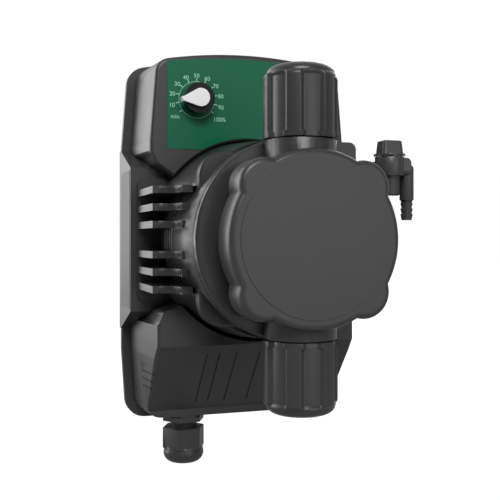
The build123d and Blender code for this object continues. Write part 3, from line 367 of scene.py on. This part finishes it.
seal_rubber = rubber("seal rubber", "151515")
diaphragm_facing = rubber("diaphragm facing", "d9d9d4")

# %% [markdown]
# ## Smooth pale pieces
#
# The pointer cap, the ceramic balls and the nylon bobbin have no grain. What keeps them from
# looking like plain paint is a faint change of gloss, so their noise has no bump.

# %% Cap, balls and bobbin


def glossy(name, colour, roughness):
    finish = Finish(name)
    clouds = finish.noise(90.0)
    base = finish.mix_colour(clouds, linear(colour), tinted(colour, 1.05))
    return finish.surface(Base_Color=base, Roughness=roughness + clouds * 0.06, IOR=1.48)


cap_white = glossy("white cap", "ffffff", 0.25)
ceramic = glossy("ceramic ball", "ece9e0", 0.1)
nylon = glossy("nylon bobbin", "cfc7b2", 0.4)

# %% [markdown]
# ## Coil and circuit board
#
# The coil is lacquered wire, laid turn beside turn along its length. Modelling a thousand turns
# would cost more than they show, so a wave texture draws them in bump and in colour, where the
# colour
# is painted shade: darker copper in the grooves between turns. The board has square-cornered copper
# tracks under green lacquer, and a brick pattern comes close to that.

# %% Wound copper and board lacquer
winding = Finish("wound copper")
turns = winding.node("ShaderNodeTexWave", {"bands_direction": "Y"},
                     {"Vector": winding.place(), "Scale": 320.0, "Distortion": 0.2})
# Base colour: painted shade, darker copper in the grooves between turns.
copper_wire = winding.surface(
    Base_Color=winding.mix_colour(turns, linear("6e2f16"), linear("c9764a")), Metallic=0.8,
    Roughness=0.3 + turns * 0.1, Normal=winding.bump(turns, 0.5, 0.3 * mm))

lacquer = Finish("board lacquer")
tracks = lacquer.node("ShaderNodeTexBrick", {"offset": 0.5}, {
    "Vector": lacquer.place(), "Scale": 140.0, "Mortar Size": 0.12, "Color1": linear("1a5a35"),
    "Color2": linear("1c6239"), "Mortar": linear("2a7d4a")})
board_lacquer = lacquer.surface(Base_Color=tracks, Roughness=0.3 + lacquer.noise(200.0) * 0.1)

# %% [markdown]
# ## Give every node its finish
#
# The frame's pieces come with plain materials. One table says which finish goes on which pieces,
# so that a glance shows what is made of what, and the last line names any piece that was missed.

# %% Which piece has which finish
finishes = {
    casing_plastic: ["wall_plate", "rear_casing"],
    cover_plastic: ["control_cover"],
    terminal_plastic: ["terminal_cover"],
    housing_plastic: ["solenoid_housing"],
    head_plastic: ["pump_head"],
    cap_plastic: ["head_cover"],
    nut_plastic: ["discharge_nut", "suction_nut"],
    bleed_plastic: ["bleed_valve_body", "bleed_knob"],
    gland_plastic: ["gland_body", "gland_nut"],
    pad_rubber: ["side_pads"],
    steel: ["casing_screws", "board_screws", "housing_screws", "head_screws", "push_rod",
            "pot_shaft", "return_spring", "diaphragm_insert"],
    iron: ["yoke_plate", "pole_core", "plunger"],
    bronze: ["guide_bush"],
    seal_rubber: ["casing_seal", "plunger_bumper", "gland_seal", "suction_valve_seal",
                  "discharge_valve_seal", "suction_valve_seat", "discharge_valve_seat"],
    diaphragm_facing: ["diaphragm"],
    cap_white: ["knob_pointer_cap"],
    ceramic: ["suction_ball", "discharge_ball"],
    nylon: ["coil_bobbin"],
    component_black: ["potentiometer", "board_components"],
    terminal_green: ["terminal_block"],
    knob_black: ["dial_knob"],
    copper_wire: ["coil_winding"],
    board_lacquer: ["circuit_board"],
    valve_plastic: ["suction_valve_body", "discharge_valve_body", "suction_tube_cone",
                    "discharge_tube_cone"],
    label_green: ["control_label"],
}
for material, names in finishes.items():
    for name in names:
        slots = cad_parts[name].data.materials
        slots.clear()
        slots.append(material)
dressed = {name for names in finishes.values() for name in names}
print("without a finish:", sorted(set(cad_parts) - dressed))

# %% [markdown]
# ## Soft edges
#
# A moulded edge is never sharp: it has a small radius that catches a thin line of light, and
# without that line a dark part looks cut from card. The frame's meshes come with their vertices
# split at the edges, so a Weld modifier joins them first, and then Bevel rounds what is steeper
# than 30 degrees. Modifiers leave the mesh itself alone.

# %% Round the edges
edge_radii = {"rear_casing": 0.6, "control_cover": 0.5, "terminal_cover": 0.5,
              "solenoid_housing": 0.35, "pump_head": 0.4, "head_cover": 0.3,
              "bleed_valve_body": 0.3, "bleed_knob": 0.4, "gland_body": 0.3, "gland_nut": 0.4,
              "dial_knob": 0.3, "knob_pointer_cap": 0.4, "wall_plate": 0.3}
for name, edge_radius in edge_radii.items():
    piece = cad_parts[name]
    weld = piece.modifiers.new("weld", "WELD")
    weld.merge_threshold = 0.01 * mm
    bevel = piece.modifiers.new("bevel", "BEVEL")
    bevel.width = edge_radius * mm
    bevel.segments = 2
    bevel.limit_method = "ANGLE"
    bevel.angle_limit = radians(30)
    bevel.harden_normals = True
    bevel.use_clamp_overlap = True
print("pieces with soft edges:", len(edge_radii))

# %% [markdown]
# ## From a shape to a piece
#
# Every new piece goes through the same steps: its faces become a mesh, the mesh gets a finish in
# its material slot and an object, the object is told which body carries it, and the frame's node
# that it stands in for is hidden. Three short helpers do this, and the first one joins rings of
# points into the skin of a round piece.

# %% Helpers for new pieces


def skin(shape, rings, closed=False):
    """Faces between each ring of points and the next; closed joins the last ring to the first."""
    followers = rings[1:] + rings[:1] if closed else rings[1:]
    for ring, following in zip(rings, followers):
        for i in range(len(ring)):
            j = (i + 1) % len(ring)
            shape.faces.new((ring[i], ring[j], following[j], following[i]))
    bmesh.ops.recalc_face_normals(shape, faces=shape.faces)


def mesh_from(shape, name, sharp_above=None):
    """Mesh of a shape; edges bent by less than sharp_above degrees are shaded smooth."""
    mesh = bpy.data.meshes.new(name)
    shape.to_mesh(mesh)
    shape.free()
    if sharp_above:
        mesh.shade_smooth()
        mesh.set_sharp_from_angle(angle=radians(sharp_above))
    print(name, len(mesh.polygons), "faces")
    return mesh


def add_piece(name, data, finish, body, replaced=None, location=(0, 0, 0),
              rotation=(0, 0, 0)):
    """Object for the mesh or curve, carried by a body, with its finish and its material slot."""
    data.materials.clear()
    data.materials.append(finish)
    piece = bpy.data.objects.new(name, data)
    piece.location, piece.rotation_euler = location, rotation
    bpy.context.scene.collection.objects.link(piece)
    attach(piece, body)
    if replaced:
        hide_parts(replaced)
    return piece


upright = (pi / 2, 0, 0)
print("pieces of the frame:", len(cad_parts))

# %% [markdown]
# ## Connector nuts
#
# Each tube is held by a hand nut: six raised ribs for the fingers, valleys between them with wide
# slanting flanks, a little hood over each valley and a domed end with a hole for the tube. Cutting
# the valleys out of a turned body leaves hard corners. Here all of it is one surface of revolution
# whose radius depends on the angle, so ribs and hoods melt into the body, and the mesh is a plain
# grid: rows follow the profile from the foot over the dome and back down the bore, and columns go
# round the axis.

# %% Ribs around the nut, in millimetres and degrees
rib_count, rib_phase, nut_columns = 6, -32.0, 240
rib_half_angle, flank_angle, flank_gain, foot_spread = 9.0, 8.5, 1.25, 4.0
nut_radius, valley_radius = 18.3, 16.2
foot_top, hood_start, hood_end = 50.6, 77.2, 79.2


def ridge(angle, wider=0.0):
    """1 on a rib, 0 in a valley, with an S-shaped flank between them."""
    pitch = 360 / rib_count
    off = abs((angle - rib_phase + pitch / 2) % pitch - pitch / 2)
    part = (rib_half_angle + wider + flank_angle - off) / flank_angle
    part = min(1.0, max(0.0, (part - 0.5) * flank_gain + 0.5))
    return part * part * (3 - 2 * part)


def valley_depth(height):
    """How deep the valleys are at a height: the hood closes them at the top."""
    open_part = min(1.0, max(0.0, (hood_end - height) / (hood_end - hood_start)))
    return open_part * (nut_radius - valley_radius)


print("valleys are", round(valley_depth(foot_top), 2), "mm deep")

# %% Profile of the nut, as radius and height in millimetres
ribbed_side = [
    (17.9, 48.0), (18.2, 48.15), (18.3, 48.5), (18.3, 50.3), (18.3, 50.55), (18.3, 50.7),
    (18.3, 51.2), (18.3, 56.0), (18.3, 61.0), (18.3, 66.0), (18.3, 71.0), (18.3, 75.0),
    (18.3, 76.6), (18.3, 77.1), (18.25, 77.5), (18.1, 77.9), (17.8, 78.4), (17.3, 78.9),
    (16.7, 79.2)]
dome_steps, dome_inner, dome_reach, dome_rise, dome_fullness = 8, 9.25, 7.45, 4.4, 0.9
dome_turns = [step / dome_steps * pi / 2 for step in range(1, dome_steps + 1)]
dome = [(dome_inner + dome_reach * cos(turn) ** dome_fullness, hood_end + dome_rise * sin(turn))
        for turn in dome_turns]
hole_and_bore = [(6.5, 83.6), (4.0, 83.6), (3.5, 83.5), (3.25, 83.2), (3.25, 74.5), (9.7, 74.5),
                 (9.7, 60.6), (14.7, 60.6), (14.7, 48.6), (15.2, 48.0)]
nut_rows = [(radius, height, valley_depth(height)) for radius, height in ribbed_side]
nut_rows += [(radius, height, 0.0) for radius, height in dome + hole_and_bore]
print("nut rows:", len(nut_rows))

# %% Build both nuts
valve_axis_y = -131.0


def ribbed_nut(name, node, side):
    """Nut on the upper neck (side 1) or, mirrored, on the lower one (side -1)."""
    shape = bmesh.new()
    rings = []
    for radius, height, depth in nut_rows:
        wider = foot_spread if height < foot_top else 0.0
        ring = []
        for column in range(nut_columns):
            angle = 360 * column / nut_columns
            reach, turn = radius - depth * (1 - ridge(angle, wider)), radians(angle)
            ring.append(shape.verts.new((reach * sin(turn) * mm,
                                         (valve_axis_y - reach * cos(turn)) * mm,
                                         side * height * mm)))
        rings.append(ring)
    skin(shape, rings, closed=True)
    add_piece(name, mesh_from(shape, name, 32), nut_plastic, node, node)


ribbed_nut("upper_ribbed_nut", "discharge_nut", 1)
ribbed_nut("lower_ribbed_nut", "suction_nut", -1)

# %% [markdown]
# ## Return spring
#
# The spring sits hidden between the plunger and the pole core. When the plunger moves forward it
# pushes the spring together; here its mesh is shown by a piece of its own, which the housing
# carries.

# %% Spring carried by the housing
stroke_spring = add_piece("stroke_spring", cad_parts["return_spring"].data.copy(), steel,
                          "housing", "return_spring")
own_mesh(stroke_spring)

# %% [markdown]
# ## Hose barbs
#
# A soft hose is pushed over the bleed tail and would slip off a smooth pipe, so the tail carries
# three low cones that let the hose on and bite when it is pulled. They are made as a lathe would
# make them: a short saw-tooth profile, spun about the tail.

# %% Barbs, as radius and height in millimetres
barb_x, barb_y, barb_columns, barb_tops = 61.4, -124.0, 40, (19.2, 16.3, 13.4)
barb_profile = [(2.55, 20.4), (3.05, 20.1), (3.05, 19.6)]
for top in barb_tops:
    barb_profile += [(2.62, top), (3.15, top - 0.35), (3.1, top - 0.7), (2.65, top - 2.6)]
barb_profile += [(2.6, 10.6), (2.3, 10.1)]
barb_turns = [2 * pi * i / barb_columns for i in range(barb_columns)]
barbs = bmesh.new()
skin(barbs, [[barbs.verts.new(((barb_x + radius * cos(turn)) * mm,
                               (barb_y + radius * sin(turn)) * mm, height * mm))
              for turn in barb_turns] for radius, height in barb_profile])
add_piece("hose_barbs", mesh_from(barbs, "hose_barbs", 40), bleed_plastic, "housing")

# %% [markdown]
# ## Label film
#
# A printed film covers most of the panel and follows its curved top and the round opening for the
# solenoid. It is a flat shape with a hole for the dial's shaft, so the quickest way is a filled
# two-dimensional curve, turned upright and given the film's thickness.

# %% Film outline, in millimetres and degrees
film_side, film_bottom, film_top, film_fall, film_top_steps = 48.6, 50.5, 102.7, 0.00158, 28
arc_radius, arc_half_angle, arc_steps = 57.9, 29.2, 24
dial_x, dial_z, shaft_hole_radius, hole_steps = -31.8, 78.2, 3.6, 32

arc_start = sqrt(arc_radius ** 2 - film_bottom ** 2)
film_outline = [(-film_side, film_bottom), (-arc_start, film_bottom)]
for step in range(arc_steps + 1):
    turn = radians(90 + arc_half_angle - 2 * arc_half_angle * step / arc_steps)
    if arc_radius * sin(turn) > film_bottom:
        film_outline.append((arc_radius * cos(turn), arc_radius * sin(turn)))
film_outline += [(arc_start, film_bottom), (film_side, film_bottom)]
for step in range(film_top_steps + 1):
    x = film_side - 2 * film_side * step / film_top_steps
    film_outline.append((x, film_top - film_fall * x * x))
hole_turns = [2 * pi * i / hole_steps for i in range(hole_steps)]
shaft_hole = [(dial_x + shaft_hole_radius * cos(turn), dial_z + shaft_hole_radius * sin(turn))
              for turn in hole_turns]
print("film:", 2 * film_side, "by", round(film_top - film_bottom, 1), "mm")

# %% Film
film_thickness, film_middle_depth = 0.18, 54.11
film_curve = bpy.data.curves.new("label_film", "CURVE")
film_curve.dimensions = "2D"
film_curve.fill_mode = "BOTH"
film_curve.extrude = film_thickness / 2 * mm
for outline in (film_outline, shaft_hole):
    spline = film_curve.splines.new("POLY")
    spline.points.add(len(outline) - 1)
    for point, (x, z) in zip(spline.points, outline):
        point.co = (x * mm, z * mm, 0, 1)
    spline.use_cyclic_u = True
film_shape = bpy.data.objects.new("film_shape", film_curve)
film_mesh = bpy.data.meshes.new_from_object(film_shape)
bpy.data.objects.remove(film_shape)
film_mesh.name = "label_film"
add_piece("label_film", film_mesh, label_green, "housing", "control_label",
          (0, -film_middle_depth * mm, 0), upright)
print("label film:", len(film_mesh.polygons), "faces")

# %% [markdown]
# ## The printing on the dial
#
# The label carries a scale for the stroke length: a thin ring, a tick for each step and a number
# beyond it. A texture could draw them, but at this size its lines would blur. Ink has almost no
# thickness, so everything lies a few hundredths of a millimetre in front of the film. The numbers
# are text objects, which keep their shape at any size, and ring and ticks are one flat mesh.

# %% Ink
ink = Finish("pale green ink")
wear = ink.noise(900.0, 3.0)
ink_green = ink.surface(Base_Color=ink.mix_colour(wear, linear("8ed2b2"), linear("aee8cc")),
                        Roughness=0.4 + wear * 0.1)
ink_lift, tick_lift = 0.03 * mm, 0.01 * mm
label_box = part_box("control_label")
ink_front = label_box[0][1] - ink_lift
dial_centre = Vector((dial_x * mm, 0.0, dial_z * mm))
first_angle, angle_step = 216.0, -25.2
scale_texts = ["min", "10", "20", "30", "40", "50", "60", "70", "80", "90", "100%"]


def on_label(radius, angle):
    """Point at a radius in mm and an angle in degrees from the right, around the dial."""
    turn = radians(angle)
    return dial_centre + Vector((radius * mm * cos(turn), ink_front, radius * mm * sin(turn)))


print("ink lies at y =", round(ink_front / mm, 3), "mm")

# %% Ring and ticks, in millimetres
ring_radius, ring_width, ring_points, tick_length, tick_width = 10.25, 0.26, 120, 1.9, 0.5
scale = bmesh.new()
inner, outer = [[scale.verts.new(on_label(ring_radius + offset, 360 * i / ring_points))
                 for i in range(ring_points)] for offset in (-ring_width / 2, ring_width / 2)]
for i in range(ring_points):
    j = (i + 1) % ring_points
    scale.faces.new((inner[i], inner[j], outer[j], outer[i]))
near, far = ring_radius, ring_radius + tick_length
near_half, far_half = (degrees(tick_width / 2 / radius) for radius in (near, far))
for index in range(len(scale_texts)):
    angle = first_angle + angle_step * index
    corners = [on_label(near, angle - near_half), on_label(near, angle + near_half),
               on_label(far, angle + far_half), on_label(far, angle - far_half)]
    scale.faces.new([scale.verts.new(corner - Vector((0, tick_lift, 0))) for corner in corners])
add_piece("dial_scale", mesh_from(scale, "dial_scale"), ink_green, "housing")

# %% [markdown]
# ## Painted shade at the label's lower edge
#
# Below the dial a darker green half-ellipse is painted shade: it stands for the shade of the
# solenoid's boss on the film and runs out under the solenoid's opening. It is a strip of faces: its
# upper row follows the ellipse, and its lower row the film's edge, so it never hangs over the
# opening.

# %% Field, in millimetres
field_x, field_z, field_reach, field_rise, field_steps = -18.3, 48.5, 13.2, 9.2, 48
opening_radius = 58.2
label_low = label_box[0][2] / mm
field_top = []
for index in range(field_steps + 1):
    turn = pi * index / field_steps
    x, z = field_x + field_reach * cos(turn), field_z + field_rise * sin(turn)
    if hypot(x, z) > opening_radius and z > label_low:
        field_top.append((x, z))
field_low = [(x, min(z, max(label_low, sqrt(max(0.0, opening_radius ** 2 - x * x)))))
             for x, z in field_top]
field = bmesh.new()
top_row, low_row = [[field.verts.new((x * mm, ink_front, z * mm)) for x, z in row]
                    for row in (field_top, field_low)]
for i in range(len(top_row) - 1):
    field.faces.new((top_row[i], top_row[i + 1], low_row[i + 1], low_row[i]))
# Its faces carry the painted shade of the boss.
add_piece("painted_boss_shade", mesh_from(field, "painted_boss_shade"), boss_shade_green, "housing")

# %% [markdown]
# ## Numbers
#
# Each number is a text object in the program's own plain font, centred on its place and a little
# below it, so that it looks level with its tick. The two long words at the ends of the scale stand
# further out than the figures between them.

# %% Numbers around the scale
text_height, text_drop, text_swell = 3.4 * mm, 0.9 * mm, 0.02 * mm
text_radius, word_radius = 14.4, {"min": 15.3, "100%": 16.4}
for index, text in enumerate(scale_texts):
    name = "dial_text_%d" % index
    curve = bpy.data.curves.new(name, "FONT")
    curve.body = text
    curve.size = text_height
    curve.align_x, curve.align_y = "CENTER", "CENTER"
    curve.resolution_u = 3
    curve.offset = text_swell
    place = on_label(word_radius.get(text, text_radius), first_angle + angle_step * index)
    place -= Vector((0, 0, text_drop))
    add_piece(name, curve, ink_green, "housing", location=place, rotation=upright)
print("numbers:", len(scale_texts))

# %% [markdown]
# ## Camera
#
# The camera stands level with the pump axis and a little to the left, half a metre away, with a
# rather long lens, which keeps near and far pieces in proportion. It looks level, so that plumb
# edges stay plumb, and the lens is shifted by a hair to put the pump where it belongs.

# %% Camera
camera_azimuth = radians(18.2)
focal_pixels, picture_width, horizon_row = 810.0, 500.0, 239.6
sensor_width = 36.0

camera_data = bpy.data.cameras.new("camera")
camera_data.sensor_width = sensor_width
camera_data.lens = focal_pixels / picture_width * sensor_width
camera_data.shift_y = (horizon_row - picture_width / 2) / picture_width
camera_data.clip_start = 0.01
camera = bpy.data.objects.new("camera", camera_data)
camera.location = (-0.1451, -0.4944, 0.0)
camera.rotation_euler = (pi / 2, 0, -camera_azimuth)
bpy.context.scene.collection.objects.link(camera)
bpy.context.scene.camera = camera
print("lens", round(camera_data.lens, 2), "mm")

# %% [markdown]
# ## How strong each source is
#
# A dark plastic part is shown by what it mirrors as much as by what lights it. So the lamps have
# their own levels, and what the plastic mirrors from the room, the backdrop and the floor has
# levels of its own. All of them stand in one table, because they are balanced against each other.

# %% Levels, and the kinds of ray that see them
levels = {"key": 0.64, "side": 0.35, "fill": 0.19, "rim left": 0.22, "rim right": 0.32,
          "room": 0.18, "backdrop": 0.8, "front gloss": 0.05, "floor gloss": 0.15}


def ray_kinds(finish):
    """1 for what the camera sees itself, in a mirror and through glass, else 0."""
    return [finish.node("ShaderNodeLightPath", output=kind)
            for kind in ("Is Camera Ray", "Is Glossy Ray", "Is Transmission Ray")]


print("brightest source:", max(levels, key=levels.get))

# %% [markdown]
# ## Floor
#
# The floor is pale and runs out to plain white, so that it has no visible edge. A lit white floor
# would throw much light up at the pump. This one is a mid grey that takes the pump's shadow, and
# the white is added only for rays that come from the camera.

# %% Floor
floor_height, floor_reach = -0.20, 6
near_white, fade_from, fade_to = (0.86, 0.86, 0.86, 1), 0.35, 1.3
white = (1, 1, 1, 1)
floor_mesh = bpy.data.meshes.new("floor")
floor_mesh.from_pydata([(x * floor_reach, y * floor_reach, floor_height)
                        for x, y in ((-1, -1), (1, -1), (1, 1), (-1, 1))], [], [(0, 1, 2, 3)])
floor = bpy.data.objects.new("floor", floor_mesh)
bpy.context.scene.collection.objects.link(floor)

pale = Finish("floor")
seen, mirrored, through = ray_kinds(pale)
distance = pale.node("ShaderNodeVectorMath", {"operation": "LENGTH"}, {0: pale.place()}, output=1)
far_off = pale.node("ShaderNodeMapRange",
                    inputs={"Value": distance, "From Min": fade_from, "From Max": fade_to})
shadow_grey = pale.mix_colour(pale.noise(30.0), (0.30, 0.30, 0.30, 1), (0.32, 0.32, 0.32, 1))
matt = pale.node("ShaderNodeBsdfDiffuse", inputs={"Color": shadow_grey})
glow = pale.node("ShaderNodeEmission", inputs={
    "Color": pale.mix_colour(far_off, near_white, white),
    "Strength": (seen + mirrored * levels["floor gloss"] + through).clamped()})
pale.end_with(pale.node("ShaderNodeAddShader", inputs={0: matt, 1: glow}))
floor_mesh.materials.append(pale.material)
print("floor at", floor_height, "m")

# %% [markdown]
# ## World
#
# The camera sees plain white behind the pump. The pump itself is lit by a dim room that is a
# little brighter towards the wall, and it mirrors a bright backdrop behind it and a dark room in
# front, which gives black plastic its pale outline and its dark middle.

# %% World
backdrop_from, backdrop_to = -0.35, 0.45
room_from, room_to, room_contrast = -0.5, 0.6, 0.36
world = bpy.data.worlds.new("studio")
bpy.context.scene.world = world
world.use_nodes = True
sky = Finish.of_tree(world.node_tree)
seen, mirrored, through = ray_kinds(sky)
direction = sky.node("ShaderNodeTexCoord", output="Generated")
to_wall = sky.node("ShaderNodeSeparateXYZ", inputs={"Vector": direction}, output="Y")
backdrop = sky.node("ShaderNodeMapRange", inputs={
    "Value": to_wall, "From Min": backdrop_from, "From Max": backdrop_to,
    "To Min": levels["front gloss"], "To Max": levels["backdrop"]})
room = sky.node("ShaderNodeMapRange", inputs={
    "Value": to_wall, "From Min": room_from, "From Max": room_to,
    "To Min": levels["room"] * (1 - room_contrast), "To Max": levels["room"] * (1 + room_contrast)})
unseen = mirrored * backdrop + (1 - mirrored) * room
brightness = seen + through + (1 - seen) * (1 - through) * unseen
background = sky.node("ShaderNodeBackground", inputs={"Color": white, "Strength": brightness})
sky.node("ShaderNodeOutputWorld", inputs={"Surface": background})
print("world nodes:", len(world.node_tree.nodes))

# %% [markdown]
# ## Lamps
#
# A large soft key lamp stands above and in front on the left, a tall one far out on the left
# opens the left walls, and a weak one fills the front. Two tall lamps behind the pump draw thin
# lines of light along its edges. Area lamps are used because their size makes shadows soft.

# %% Soft lamps
pump_middle = Vector((0.0, -0.07, 0.0))
lamps = {  # place, size and level; the level is about what a white surface square to it shows
    "key": ((-0.35, -1.25, 0.95), (0.8, 0.6), levels["key"]),
    "side": ((-1.3, 0.7, 0.2), (0.6, 1.2), levels["side"]),
    "front fill": ((0.5, -1.5, 0.15), (1.0, 1.0), levels["fill"]),
    "rim left": ((-0.6, 1.25, 0.25), (0.6, 1.2), levels["rim left"]),
    "rim right": ((0.8, 1.15, 0.25), (0.4, 1.2), levels["rim right"]),
}
for name, (place, size, level) in lamps.items():
    to_pump = pump_middle - Vector(place)
    data = bpy.data.lights.new(name, "AREA")
    data.shape = "RECTANGLE"
    data.size, data.size_y = size
    data.energy = level * pi * pi * to_pump.length_squared
    lamp = bpy.data.objects.new(name, data)
    lamp.location = place
    lamp.rotation_euler = to_pump.to_track_quat("-Z", "Y").to_euler()
    bpy.context.scene.collection.objects.link(lamp)
    print(name, "lamp:", round(data.energy, 2), "W")

bpy.context.scene.view_settings.view_transform = "Standard"

# %% [markdown]
